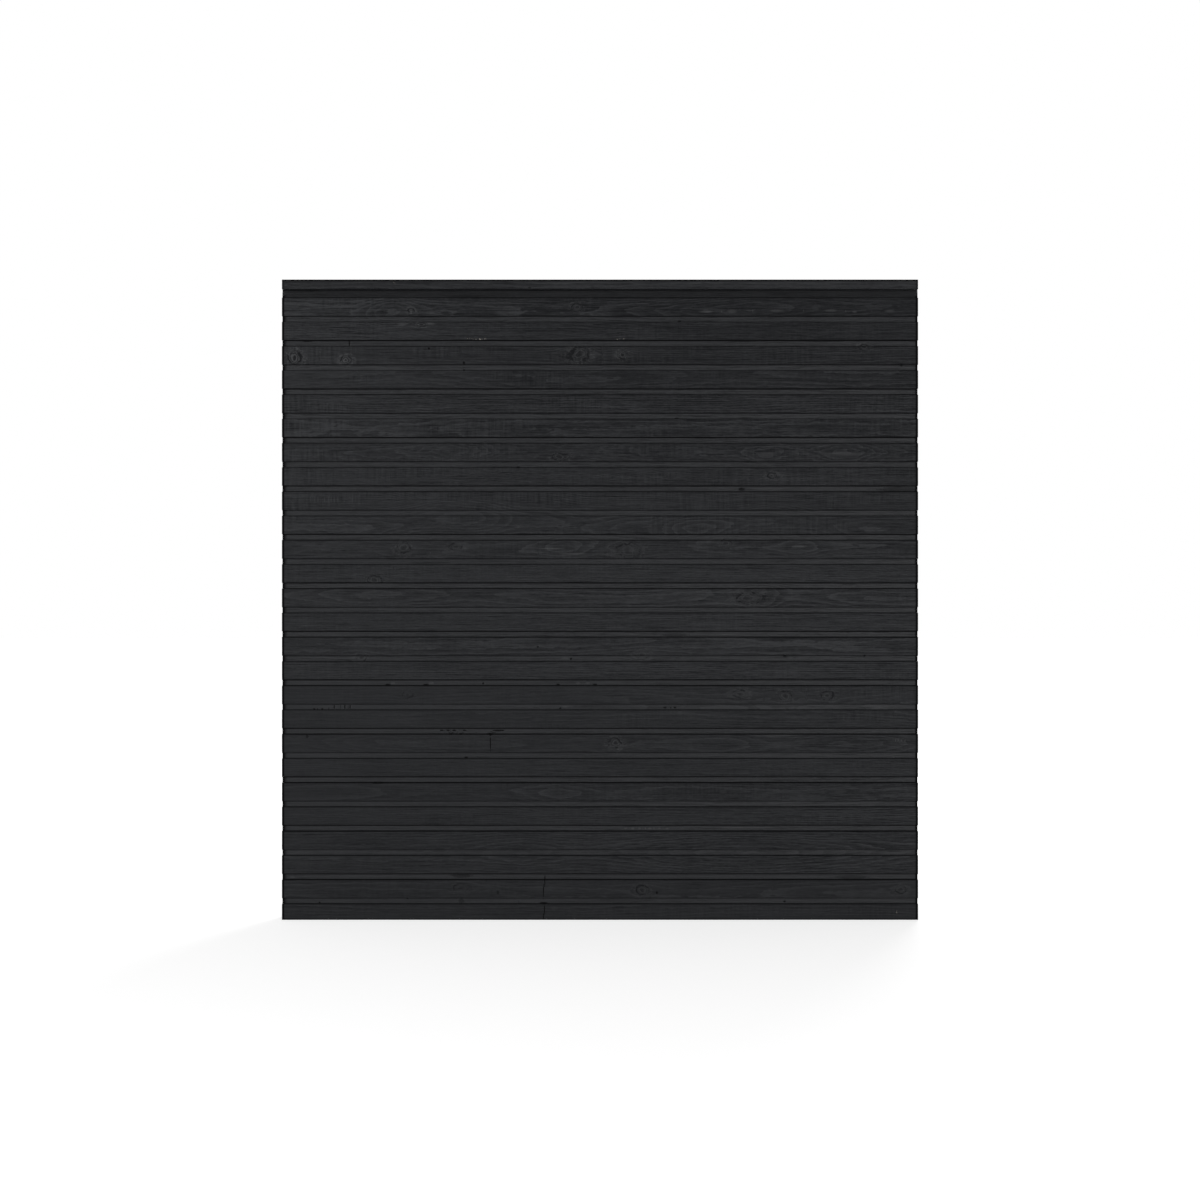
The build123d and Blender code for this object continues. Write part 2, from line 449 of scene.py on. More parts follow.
def new_node(tree, kind, settings, values):
    """Adds a node to a tree: its settings first, then the values or links of its sockets."""
    node = tree.nodes.new(kind)
    for key, value in (settings or {}).items():
        setattr(node, key, value)
    for key, value in (values or {}).items():
        value = getattr(value, "socket", value)
        if isinstance(value, bpy.types.NodeSocket):
            tree.links.new(value, node.inputs[key])
        else:
            node.inputs[key].default_value = value
    return node


def operator(kind):
    """A method that adds one Math node of that kind."""
    return lambda self, *others: self.maths(kind, self, *others)


def reflected(kind):
    """The same for a number in front of the socket, as in 1 - mask."""
    return lambda self, other: self.maths(kind, other, self)


class Wire:
    """A shader socket that can be used in sums: each operator adds one Math node."""

    def __init__(self, nodes, socket):
        self.nodes, self.socket = nodes, socket

    def maths(self, kind, *values, clamp=False):
        settings = {"operation": kind, "use_clamp": clamp}
        return self.nodes.make("ShaderNodeMath", settings, dict(enumerate(values)))

    __add__ = __radd__ = operator("ADD")
    __mul__ = __rmul__ = operator("MULTIPLY")
    __sub__, __rsub__ = operator("SUBTRACT"), reflected("SUBTRACT")
    __truediv__, __rtruediv__ = operator("DIVIDE"), reflected("DIVIDE")
    __pow__, __rpow__ = operator("POWER"), reflected("POWER")
    sin, sqrt, exp = operator("SINE"), operator("SQRT"), operator("EXPONENT")
    fract, floor, at_least = operator("FRACT"), operator("FLOOR"), operator("MAXIMUM")

    def clipped(self):
        return self.maths("ADD", self, 0.0, clamp=True)

    def step(self, start, end):
        """0 up to start, 1 from end on, smooth between."""
        values = {"Value": self, "From Min": start, "From Max": end}
        return self.nodes.make("ShaderNodeMapRange", {"interpolation_type": "SMOOTHSTEP"}, values)


class ShaderNodes:
    """Builds the nodes of a material or a world."""

    def __init__(self, owner):
        self.owner = owner
        owner.use_nodes = True
        self.tree = owner.node_tree
        self.tree.nodes.clear()

    def make(self, kind, settings=None, values=None, output=0):
        return Wire(self, new_node(self.tree, kind, settings, values).outputs[output])

    def split(self, vector):
        node = self.make("ShaderNodeSeparateXYZ", None, {"Vector": vector}).socket.node
        return [Wire(self, node.outputs[axis]) for axis in range(3)]

    def join(self, x, y, z):
        return self.make("ShaderNodeCombineXYZ", None, {"X": x, "Y": y, "Z": z})

    def attribute(self, name):
        return self.make("ShaderNodeAttribute", {"attribute_name": name}, None, "Vector")

    def object_place(self):
        return self.make("ShaderNodeTexCoord", None, None, "Object")

    def scaled(self, vector, x, y, z):
        return self.make("ShaderNodeVectorMath", {"operation": "MULTIPLY"}, {0: vector, 1: (x, y, z)})

    def noise(self, vector, detail, roughness=0.5):
        values = {"Vector": vector, "Scale": 1.0, "Detail": detail, "Roughness": roughness}
        return self.make("ShaderNodeTexNoise", None, values, "Fac")

    def mix(self, factor, first, second):
        """A colour between two others."""
        return self.make("ShaderNodeMix", {"data_type": "RGBA"}, {0: factor, 6: first, 7: second}, 2)

    def background_rays(self):
        """1 for the rays that show the background: those of the camera, of gloss and of glass."""
        path = self.make("ShaderNodeLightPath").socket.node
        rays = [Wire(self, path.outputs[f"Is {kind} Ray"]) for kind in ("Camera", "Glossy", "Transmission")]
        return rays[0].at_least(rays[1]).at_least(rays[2])

    def principled(self, values):
        """Ends a material in a Principled shader and returns the material."""
        return self.surface(self.make("ShaderNodeBsdfPrincipled", None, values))

    def surface(self, shader, output="ShaderNodeOutputMaterial"):
        new_node(self.tree, output, None, {"Surface": shader})
        return self.owner


def rgba(values):
    return (values[0], values[1], values[2], 1.0)


def painted_wood(name, finish, planed, upright=False):
    """Thin black paint over softwood: rings, fibres, knots, saw marks and blemishes show through.

    planed is how smooth the faces are, from 0 for sawn to 1. The grain runs along X, or up.
    """
    n = ShaderNodes(bpy.data.materials.new(name))
    place = n.object_place()
    x, y, z = n.split(place)
    if upright:
        x, z = z, x
        place = n.join(x, y, z)
    heart_y, heart_z, ring = n.split(n.attribute("heart"))
    knot_x, knot_z, knot_r = n.split(n.attribute("knot"))
    mark_x, mark_z, tone = n.split(n.attribute("mark"))
    depth, saw, crease = n.split(n.attribute("surface"))
    knotty, wave, shade = n.split(n.attribute("trait"))
    vivid = n.split(n.attribute("figure"))[0]

    def pattern(name):
        scale, detail, roughness = PATTERNS[name]
        return n.noise(n.scaled(place, *scale), detail, roughness)

    def wave_of(name):
        return pattern(name) - 0.5

    # Rings are cylinders round the heart, pushed aside round each knot.
    spread = (knot_x * knot_x * 0.35 + knot_z * knot_z).at_least(1.0)
    aside = knot_z * knot_r / spread * (spread * -0.05).exp()
    drift, ripple = wave_of("drift"), wave_of("ripple")
    off_y = y - heart_y
    off_z = z - aside * 1.1 - heart_z
    radius = (off_y * off_y + off_z * off_z).sqrt() + drift * 0.014 + ripple * wave
    turns = radius / ring
    phase = turns.fract()
    late = (phase ** 2.5) * (1.0 - phase.step(0.90, 1.0))
    ring_tone = n.noise(n.join(turns.floor() * 0.37, 0.0, 0.0), 0.0)

    # A knot is a light disc of close rings round a dark pith, in a broken dark rim and a light halo.
    blot, shred, bulge = wave_of("blot"), wave_of("shred"), wave_of("bulge")
    knot_d = (knot_x * knot_x + knot_z * knot_z).sqrt() + bulge * 0.9 + blot * 0.5
    in_knot = knotty * (1.0 - knot_d.step(0.72, 0.95))
    pith = knotty * (1.0 - knot_d.step(0.10, 0.32))
    broken = (bulge * 1.2 + shred).step(-0.06, 0.12)
    rim = knotty * knot_d.step(0.74, 0.92) * (1.0 - knot_d.step(0.98, 1.20)) * broken
    knot_rings = (knot_d * 17.0).sin() * in_knot
    halo = knotty * knot_d.step(1.0, 1.2) * (1.0 - knot_d.step(1.3, 2.1))
    blotch = halo * (shred * 1.3 + ripple * 0.6).step(-0.04, 0.14)

    # Fibres, saw marks and the planed floors of the grooves.
    fibre, strand, fleck = wave_of("fibre"), wave_of("strand"), wave_of("fleck")
    chatter, cloud = wave_of("chatter"), wave_of("cloud")
    check = pattern("check").step(0.60, 0.70)
    patch = pattern("patch").step(0.45, 0.60)
    floor = depth.step(0.85, 0.97)
    sawn = (1.0 - floor) * saw * (1.0 - planed)
    stiff = 1.0 - planed * 0.5

    # Blemishes: chips that bare the wood, streaks of worn paint, and holes and cracks.
    mark_size = (mark_x * mark_x + mark_z * mark_z).sqrt()
    in_mark = 1.0 - (mark_size + wave_of("grit") * 1.2).step(0.75, 1.15)
    light = tone.at_least(0.0)
    chip = light.step(STREAK_TONE, STREAK_TONE + STREAK_EDGE)
    light_mark = in_mark * light * chip * pattern("crumb").step(0.53, 0.60)
    streak = (1.0 - (mark_size + ripple * 0.9 + fleck * 0.7).step(0.25, 1.0)) * light * (1.0 - chip)
    dark_mark = in_mark * (tone * -1.0).at_least(0.0)

    grain_relief = (
        late * 0.16 * (1.0 - in_knot)
        + fibre * 0.14
        + strand * 0.40 * stiff
        + fleck * 0.18 * stiff
        - check * 0.20
        + chatter * sawn * (patch * 0.9 + 0.1) * 0.8
    )
    height = grain_relief * vivid + knot_rings * 0.12 - rim * 0.60 + blotch * 0.25 - dark_mark * 0.8
    bump = n.make("ShaderNodeBump", None, {"Strength": 1.0, "Distance": MM, "Height": height})

    grain = (
        late * (ring_tone * 1.1 - 0.10) * (1.0 - in_knot)
        + strand * 0.9
        + fibre * 1.2
        + fleck * 0.8
        - check * 0.30
        + chatter * sawn * patch * 1.1
    )
    # Thin paint is lighter; shade adds the painted light and shade over the panel, and floor * 0.26 a painted
    # sheen on the groove floors
    soak_and_painted_light = (
        0.40 + shade + floor * 0.26 + cloud * 0.3 + grain * vivid + knot_rings * 0.30 - pith * 1.0 - rim * 1.5
    ).clipped()
    worn = in_knot * (0.15 + knot_rings * 0.15) * (1.0 - pith) + blotch * 0.26 + streak
    paint = n.mix(soak_and_painted_light, rgba(finish.paint), rgba(finish.paint_thin))
    paint = n.mix(worn, paint, rgba(finish.worn))
    # Painted shade in the grooves' corners, at the joints and under the cap, and darker paint at ends and
    # edges
    paint = n.mix(crease * CREASE_SHARE, paint, rgba(finish.painted_shade))
    paint = n.mix(light_mark, paint, rgba(finish.bare))
    paint = n.mix(dark_mark, paint, HOLE_COLOUR)
    rough = (
        0.56
        - planed * 0.14
        - floor * 0.16
        + strand * 0.25
        + cloud * 0.15
        - late * 0.08
        - blotch * 0.10
        + crease * 0.4
        + in_mark * 0.2
    ).clipped()
    gloss = {"Roughness": rough, "IOR": 1.5, "Specular IOR Level": PAINT_GLOSS}
    return n.principled({"Base Color": paint, "Normal": bump, **gloss})


def coated_steel(name, finish):
    """Dark coated steel of the screws, a little uneven in gloss."""
    n = ShaderNodes(bpy.data.materials.new(name))
    place = n.object_place()
    cloud = n.noise(n.scaled(place, *STEEL_GRAIN), 3.0)
    dark = [channel * STEEL_DARK for channel in finish.screw]
    tone = n.mix(cloud, rgba(finish.screw), rgba(dark))
    bump = n.make("ShaderNodeBump", None, {"Strength": 0.3, "Distance": 0.1 * MM, "Height": cloud})
    rough = cloud * 0.25 + 0.32
    return n.principled({"Base Color": tone, "Metallic": 1.0, "Roughness": rough, "Normal": bump})


def eased(corner, before, after, radius):
    """The corner rounded off between its two neighbours."""
    here, back, ahead = Vector(corner), Vector(before), Vector(after)
    u, v = (back - here).normalized(), (ahead - here).normalized()
    half = u.angle(v) / 2
    reach = radius / math.tan(half)
    middle = here + (u + v).normalized() * (radius / math.sin(half))
    first, last = here + u * reach - middle, here + v * reach - middle
    spokes = [first.lerp(last, index / CORNER_STEPS).normalized() for index in range(CORNER_STEPS + 1)]
    return [tuple(middle + spoke * radius) for spoke in spokes]


def divided(points, step):
    """An open run of points with its long sides divided, up to but without its last point."""
    result = []
    for here, ahead in zip(points, points[1:]):
        here, ahead = Vector(here), Vector(ahead)
        pieces = max(1, round((ahead - here).length / step))
        result += [tuple(here.lerp(ahead, index / pieces)) for index in range(pieces)]
    return result


def fine_and_coarse(front, rest, step):
    """A closed outline whose front is finely divided and whose hidden rest is coarse."""
    return divided(front + rest[:1], step) + divided(rest + front[:1], COARSE * step)


def section_sizes(s):
    """From block to block, how far a groove's wall leans in, and how deep the tongue's front lies."""
    slope = s.groove_depth * math.tan(s.groove_draft)
    return s.block_face + s.groove_width, slope, s.groove_depth + s.front_shoulder


def groove_floor(depth, low, high):
    """A groove's floor, with the points up to which its corners are dark."""
    return [(depth, height) for height in (low, low + CREASE_REACH, high - CREASE_REACH, high)]


def rounded_corners(deep, tall, arris):
    """The rounded corners of a rectangle, each a run of points, from the front lower one on."""
    corners = [(0.0, 0.0), (0.0, tall), (deep, tall), (deep, 0.0)]
    return [
        eased(corner, corners[index - 1], corners[(index + 1) % 4], arris)
        for index, corner in enumerate(corners)
    ]


def plank_outline(s, trim):
    """The plank's section as (depth behind the face, height), trimmed along its lower edge."""
    pitch, slope, tongue_front = section_sizes(s)
    cover = 2 * pitch
    tongue_back = tongue_front + s.tongue_thickness
    floor_low, floor_high = s.block_face + slope, pitch - slope

    low, high = (0.0, s.block_face), (0.0, pitch + s.block_face)
    points = [(0.0, trim)] if trim else eased((0.0, 0.0), (tongue_front, 0.0), low, s.arris)
    points += eased(low, (0.0, trim), (s.groove_depth, floor_low), s.arris)
    points += groove_floor(s.groove_depth, floor_low, floor_high)
    points += eased((0.0, pitch), (s.groove_depth, floor_high), high, s.arris)
    points += eased(high, (0.0, pitch), (s.groove_depth, pitch + floor_low), s.arris)
    points += groove_floor(s.groove_depth, pitch + floor_low, cover - s.joint_gap)
    nose, ease = cover + s.tongue_length, s.tongue_chamfer
    back, bevel = s.thickness, s.back_chamfer
    rest = [
        (tongue_front, cover - s.joint_gap),
        (tongue_front, nose - ease),
        (tongue_front + ease, nose),
        (tongue_back - ease, nose),
        (tongue_back, nose - ease),
        (tongue_back, cover),
        (back - bevel, cover),
        (back, cover - bevel),
    ]
    rest += [(back, trim)] if trim else [(back, bevel), (back - bevel, 0.0)]
    near, far = tongue_front - s.slot_side, tongue_back + s.slot_side
    top = s.tongue_length + s.slot_end
    rest += [(far, trim), (far, top), (near, top), (near, trim)]
    return fine_and_coarse(points, rest, s.step_across)


def cap_outline(deep, tall, rails, s, front_gap):
    """The cap board's section as (depth, height), with the groove for the top plank's tongue.

    front_gap is how far the board stands out in front of the planks.
    """
    corners = rounded_corners(deep, tall, rails.cap_arris)
    near = front_gap + s.groove_depth + s.front_shoulder - s.slot_side
    far = near + s.tongue_thickness + 2 * s.slot_side
    top = rails.cap_tongue_entry + s.slot_end
    groove = [(far, 0.0), (far, top), (near, top), (near, 0.0)]
    edge = [(0.0, tall - CAP_EDGE_REACH), (0.0, tall - CAP_EDGE_DARK)]
    front = corners[0] + edge + corners[1]
    return fine_and_coarse(front, corners[2] + corners[3] + groove, s.step_across)


def batten_outline(wide, deep, arris):
    """A batten's section, a square with rounded edges."""
    outline = sum(rounded_corners(deep, wide, arris), [])
    return divided(outline + outline[:1], BATTEN_STEP)


def stations(low, high, step, places=()):
    """Places along a member where its mesh has a ring of points, closer together at blemishes."""
    count = round((high - low) / step)
    marks = [low + (high - low) * index / count for index in range(count + 1)]
    for place, half in places:
        reach = half + MARK_SPARE
        fine = min(max(round(2 * reach / MARK_STEP), MARK_RINGS[0]), MARK_RINGS[1])
        marks += [place - reach + 2 * reach * index / fine for index in range(fine + 1)]
    for offset in (END_DARK, END_REACH, *FLOOR_END):
        marks += [low + offset, high - offset]
    marks = sorted(mark for mark in marks if low <= mark <= high)
    kept = [marks[0]]
    for mark in marks[1:-1]:
        if mark - kept[-1] > LEAST_STEP:
            kept.append(mark)
    if marks[-1] - kept[-1] < LEAST_STEP:
        kept.pop()
    return kept + marks[-1:]


def add_object(name, data):
    """A new object in the scene."""
    made = bpy.data.objects.new(name, data)
    bpy.context.scene.collection.objects.link(made)
    return made


def poly_curve(name, points, closed):
    """A curve object of straight runs."""
    data = bpy.data.curves.new(name, "CURVE")
    data.dimensions = "3D"
    spline = data.splines.new("POLY")
    spline.points.add(len(points) - 1)
    spline.points.foreach_set("co", [value for point in points for value in (*point, 1.0)])
    spline.use_cyclic_u = closed
    return add_object(name, data)


class GeometryTree:
    """Builds one Geometry Nodes tree with named inputs."""

    def __init__(self, name):
        self.tree = bpy.data.node_groups.new(name, "GeometryNodeTree")
        self.tree.interface.new_socket("Geometry", in_out="OUTPUT", socket_type="NodeSocketGeometry")
        self.out = self.tree.nodes.new("NodeGroupOutput")
        self.source = self.tree.nodes.new("NodeGroupInput")

    def inputs(self, kinds):
        """Adds the named inputs, each with its kind, and returns their sockets."""
        for name, kind in kinds.items():
            self.tree.interface.new_socket(name, in_out="INPUT", socket_type=f"NodeSocket{kind}")
        return [self.source.outputs[name] for name in kinds]

    def make(self, kind, settings=None, values=None, output=0):
        return new_node(self.tree, kind, settings, values).outputs[output]

    def vector_maths(self, operation, values):
        return self.make("ShaderNodeVectorMath", {"operation": operation}, values)

    def shape_of(self, item):
        """The geometry of another object."""
        return self.make("GeometryNodeObjectInfo", None, {"Object": item}, "Geometry")

    def finish(self, geometry, material):
        """Realizes the instances, sets the material and closes the tree."""
        real = self.make("GeometryNodeRealizeInstances", None, {"Geometry": geometry})
        painted = self.make("GeometryNodeSetMaterial", None, {"Geometry": real, "Material": material})
        self.tree.links.new(painted, self.out.inputs[0])
        return self.tree


def swept_member_tree():
    """A section swept along a rail and put slightly out of straight."""
    t = GeometryTree("swept_member")
    kinds = {"Rail": "Object", "Section": "Object", "Bow": "Float", "Bow Length": "Float", "Seed": "Float"}
    rail, section, bow, wave, seed, material = t.inputs({**kinds, "Material": "Material"})
    curves = {"Curve": t.shape_of(rail), "Profile Curve": t.shape_of(section), "Fill Caps": True}
    swept = t.make("GeometryNodeCurveToMesh", None, curves)
    place = t.make("GeometryNodeInputPosition")
    x = t.make("ShaderNodeSeparateXYZ", None, {"Vector": place})
    along = t.make("ShaderNodeMath", {"operation": "DIVIDE"}, {0: x, 1: wave})
    probe = t.make("ShaderNodeCombineXYZ", None, {"X": along, "Y": seed, "Z": 0.5})
    noise = t.make("ShaderNodeTexNoise", None, {"Vector": probe, "Scale": 1.0, "Detail": 1.0}, "Color")
    centred = t.vector_maths("SUBTRACT", {0: noise, 1: (0.5, 0.5, 0.5)})
    across = t.vector_maths("MULTIPLY", {0: centred, 1: (0.0, 2.0, 2.0)})
    offset = t.vector_maths("SCALE", {0: across, "Scale": bow})
    return t.finish(t.make("GeometryNodeSetPosition", None, {"Geometry": swept, "Offset": offset}), material)


def screw_row_tree():
    """A screw set at each point of a mesh of places, each turned by its own angle about its axis."""
    t = GeometryTree("screw_row")
    kinds = {"Places": "Object", "Screw": "Object", "Seed": "Int", "Tilt": "Vector"}
    places, screw, seed, tilt, material = t.inputs({**kinds, "Material": "Material"})
    turns = {0: (0.0, 0.0, 0.0), 1: (0.0, 0.0, 2 * math.pi), "Seed": seed}
    turn = t.make("FunctionNodeRandomValue", {"data_type": "FLOAT_VECTOR"}, turns)
    lean = t.make("FunctionNodeEulerToRotation", None, {0: tilt})
    spin = t.make("FunctionNodeEulerToRotation", None, {0: turn})
    turned = t.make("FunctionNodeRotateRotation", {"rotation_space": "LOCAL"}, {0: lean, 1: spin})
    values = {"Points": t.shape_of(places), "Instance": t.shape_of(screw), "Rotation": turned}
    return t.finish(t.make("GeometryNodeInstanceOnPoints", None, values), material)


def make_plain(piece):
    """Turns a piece with its modifiers into a plain mesh."""
    graph = bpy.context.evaluated_depsgraph_get()
    mesh = bpy.data.meshes.new_from_object(piece.evaluated_get(graph))
    piece.modifiers.clear()
    piece.data = mesh
    mesh.name = piece.name


def run_tree(name, tree, values):
    """Runs a tree on an empty mesh and returns the plain mesh object that it makes."""
    holder = add_object(name, bpy.data.meshes.new(name))
    modifier = holder.modifiers.new("make", "NODES")
    modifier.node_group = tree
    sockets = {item.name: item.identifier for item in tree.interface.items_tree if item.in_out == "INPUT"}
    for key, value in values.items():
        modifier[sockets[key]] = value
    make_plain(holder)
    return holder


def remove(*objects):
    for item in objects:
        bpy.data.objects.remove(item)


def read(items, key, width, kind=np.float32):
    """One property of all the items, a row for each."""
    flat = np.empty(len(items) * width, kind)
    items.foreach_get(key, flat)
    return flat.reshape(-1, width)


def places_of(mesh):
    return read(mesh.vertices, "co", 3).astype(float)


def set_places(mesh, points):
    mesh.vertices.foreach_set("co", points.astype(np.float32).ravel())
    mesh.update()


def set_attribute(mesh, name, values, domain="POINT"):
    layer = mesh.attributes.new(name, "FLOAT_VECTOR", domain)
    layer.data.foreach_set("vector", values.astype(np.float32).ravel())


def columns(points, *values):
    """Three values for each point, each given as one for all or as one for each."""
    made = np.empty_like(points)
    for index, value in enumerate(values):
        made[:, index] = value
    return made


def end_corners(mesh):
    """Which corners of the faces belong to the flat faces at a member's two ends along X."""
    sizes = read(mesh.polygons, "loop_total", 1, np.int32)[:, 0]
    flat = np.abs(read(mesh.polygons, "normal", 3)[:, 0]) > 0.999
    return np.repeat(flat, sizes)


def set_surface(mesh, values, upright):
    """Stores depth, saw marks and creases by corner, so that the end faces show plain end grain."""
    spread = values[read(mesh.loops, "vertex_index", 1, np.int32)[:, 0]]
    if not upright:
        spread[end_corners(mesh)] = (0.0, 0.0, END_FACE_TONE)
    set_attribute(mesh, "surface", spread, "CORNER")


def smooth_noise(positions, seed):
    """Smooth random wave along a line, from -1 to 1, with one knot of the wave per unit."""
    source = np.random.default_rng(seed)
    values = source.uniform(-1, 1, WAVE_VALUES)
    cell = np.floor(positions).astype(int)
    share = positions - cell
    share = share * share * (3 - 2 * share)
    return values[cell % WAVE_VALUES] * (1 - share) + values[(cell + 1) % WAVE_VALUES] * share


def fading(distance, dark, reach):
    """1 up to one distance, 0 from another on."""
    return np.clip((reach - distance) / (reach - dark), 0, 1)


def blend(ends, share):
    """From the first of two values to the second."""
    return ends[0] * (1 - share) + ends[1] * share


def dark_ends(points):
    """1 at a member's ends, which are painted darker, fading to 0 inwards."""
    return fading(points[:, 0].max() - np.abs(points[:, 0]), END_DARK, END_REACH)


def groove_creases(points, s, face_y, bottom):
    """Painted shade, 0 to 1, of each point in a corner of a groove, at a joint or under the cap; ends and
    edges are painted darker too.
    """
    pitch, slope, shoulder = section_sizes(s)
    recess_top = 2 * pitch - s.joint_gap
    walls = (
        ((0.0, 0.0), (shoulder, 0.0), JOINT_TONE),
        ((0.0, s.block_face), (s.groove_depth, s.block_face + slope), GROOVE_LOW_TONE),
        ((0.0, pitch), (s.groove_depth, pitch - slope), GROOVE_HIGH_TONE),
        ((0.0, pitch + s.block_face), (s.groove_depth, pitch + s.block_face + slope), JOINT_TONE),
        ((s.groove_depth, recess_top), (shoulder, recess_top), JOINT_TONE),
    )
    here = np.stack([points[:, 1] - face_y, points[:, 2] - bottom], 1)
    crease = dark_ends(points)
    for start, end, tone in walls:
        start, end = np.array(start), np.array(end)
        run = end - start
        share = np.clip(((here - start) @ run) / (run @ run), 0, 1)
        gap = np.linalg.norm(here - start - share[:, None] * run, axis=1)
        crease = np.maximum(crease, fading(gap, 0.0, CREASE_REACH) * tone)
    # The lower edge and the left ends of the groove floors are painted darker
    crease = np.maximum(crease, fading(points[:, 2] - CAD_LOW.z, LOW_EDGE_DARK, LOW_EDGE_REACH))
    sunk = here[:, 0] > 0.5 * s.groove_depth
    left_end = fading(points[:, 0] - CAD_LOW.x, *FLOOR_END)
    crease = np.maximum(crease, np.where(sunk, left_end, 0))
    # Painted shadow of the cap board: the top plank's recess under it is painted UNDER_CAP dark, no darker in
    # its upper half
    into_strip = points[:, 2] - (TOP_PLANK_BOTTOM + 2 * pitch - s.groove_width)
    crease = np.where(sunk & (into_strip > s.groove_width / 2), np.minimum(crease, UNDER_CAP), crease)
    return np.maximum(crease, np.where(sunk & (into_strip > 0), UNDER_CAP, 0))


def nearest(points, features, origin_z, third):
    """For each point, its offset to the nearest feature in half sizes, and one value of that feature."""
    best = np.full(len(points), np.inf)
    offset = np.tile(np.array(NOWHERE), (len(points), 1))
    for feature in features:
        half_x, half_z = feature.half_length, feature.half_height
        dx = points[:, 0] - feature.x
        dz = points[:, 2] - origin_z - feature.height
        gap = np.hypot(np.maximum(np.abs(dx) - half_x, 0), np.maximum(np.abs(dz) - half_z, 0))
        closer = gap < best
        best[closer] = gap[closer]
        offset[closer, 0] = dx[closer] / half_x
        offset[closer, 1] = dz[closer] / half_z
        offset[closer, 2] = getattr(feature, third)
    return offset


def carve(points, bottom, knots, marks):
    """Sinks the blemishes into the front of a member and lifts its knots slightly."""
    front = points[:, 1] < FRONT_Y + MARK_DEPTH
    for mark in marks:
        if not mark.depth:
            continue
        dx = (points[:, 0] - mark.x) / (mark.half_length + MARK_SOFTNESS)
        dz = (points[:, 2] - bottom - mark.height) / (mark.half_height + MARK_SOFTNESS)
        fall = np.clip(MARK_FADE - np.hypot(dx, dz), 0, 1)
        points[:, 1] += np.where(front, mark.depth * fall * fall * (3 - 2 * fall), 0)
    for knot in knots:
        dx = (points[:, 0] - knot.x) / knot.half_length
        d = np.hypot(dx, (points[:, 2] - bottom - knot.height) / knot.half_height)
        moat = MOAT_DEPTH * np.exp(-(((d - MOAT_PLACE) / MOAT_WIDTH) ** 2))
        rise = KNOT_RISE * np.exp(-d * d) - moat
        points[:, 1] -= np.where(front, rise * knot.strength, 0)


def roughen_edges(points, seed, ends):
    """Wears the sharp edges unevenly along the front faces; the end faces stay flat."""
    face = np.clip(1 - (points[:, 1] - points[:, 1].min()) / EDGE_REACH, 0, 1)
    wave, slow = (
        smooth_noise(points[:, 0] / reach + points[:, 2] * jump, seed + 50 * index)
        for index, (reach, jump) in enumerate(EDGE_WAVES)
    )
    wear = np.clip(wave * 0.6 + slow * 0.6 - 0.25, 0, 1)
    partial = face * (1 - face) * 4
    points[:, 1] += partial * wear * EDGE_WEAR
    points[:, 0] = np.clip(points[:, 0], ends[0], ends[1])


def painted_light_and_shade(points, sunk):
    """Painted light and shade over the panel, on the faces and in the grooves.

    The faces are painted lighter at the upper left and darker at the upper right; low down the grooves
    are painted lighter than the faces.
    """
    across = np.clip((points[:, 0] - CAD_LOW.x) / (CAD_HIGH.x - CAD_LOW.x), 0, 1)
    up = np.clip((points[:, 2] - CAD_LOW.z) / (CAD_HIGH.z - CAD_LOW.z), 0, 1)
    top = np.clip((up - SHADE_FROM) / (1 - SHADE_FROM), 0, 1)
    low = np.clip(1 - up / SHADE_FROM, 0, 1)
    faces = top * (SHADE_LEFT * (1 - across) ** 3 - SHADE_RIGHT * np.minimum(2.5 * across, 1))
    return np.where(sunk, SHADE_LOW_FLOOR * low, faces + SHADE_LOW_FACE * low)


def grain_fields(mesh, points, growth, bottom, knots, marks, face_y, deep, creases=0, shade=0, upright=False):
    """Gives a wooden member the fields that its material reads, from its points laid along X.

    deep is the depth behind its face from which a point counts as a groove's floor.
    """
    along = points[:, 0] / growth.reach
    wander_y, wander_z = (
        smooth_noise(along * pace + start, growth.seed * 7 + index) * growth.sway * size
        for index, (pace, start, size) in enumerate(WANDER, start=1)
    )
    for place, half, lift in growth.eyes:
        wander_y -= lift * np.exp(-(((points[:, 0] - place) / half) ** 2))
    heart_y = face_y + growth.heart_depth + wander_y
    heart_z = bottom + growth.heart_height + wander_z
    set_attribute(mesh, "heart", columns(points, heart_y, heart_z, growth.ring))
    set_attribute(mesh, "knot", nearest(points, knots, bottom, "radius"))
    strength = nearest(points, knots, bottom, "strength")[:, 2]
    set_attribute(mesh, "trait", columns(points, strength, growth.ripple, shade))
    mark = nearest(points, marks, bottom, "tone")
    mark[points[:, 1] > face_y + MARK_DEPTH] = NOWHERE
    set_attribute(mesh, "mark", mark)
    depth = np.clip((points[:, 1] - face_y) / deep, 0, 1)
    across = np.clip((points[:, 0] - points[:, 0].min()) / np.ptp(points[:, 0]), 0, 1)
    set_surface(mesh, columns(points, depth, blend(growth.saw, across), creases), upright)
    set_attribute(mesh, "figure", columns(points, blend(growth.vivid, across), 0, 0))


def settle(piece, slot, *nodes):
    """Rides on the panel and stands for its nodes; slot is not used."""
    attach(piece, "root")
    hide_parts(*nodes)


def sweep(name, outline, face_y, base_z, rail_x, material, bow, seed):
    """A member along X, swept from its outline of (depth, height) points."""
    rail = poly_curve(f"{name}_rail", [(x, 0.0, 0.0) for x in rail_x], False)
    corners = [(-face_y - depth, -base_z - height, 0.0) for depth, height in outline]
    section = poly_curve(f"{name}_section", corners, True)
    shape = {"Rail": rail, "Section": section, "Bow": bow, "Bow Length": BOW_LENGTH}
    values = {**shape, "Seed": seed * SEED_STEP, "Material": material}
    made = run_tree(name, bpy.data.node_groups["swept_member"], values)
    remove(rail, section)
    return made


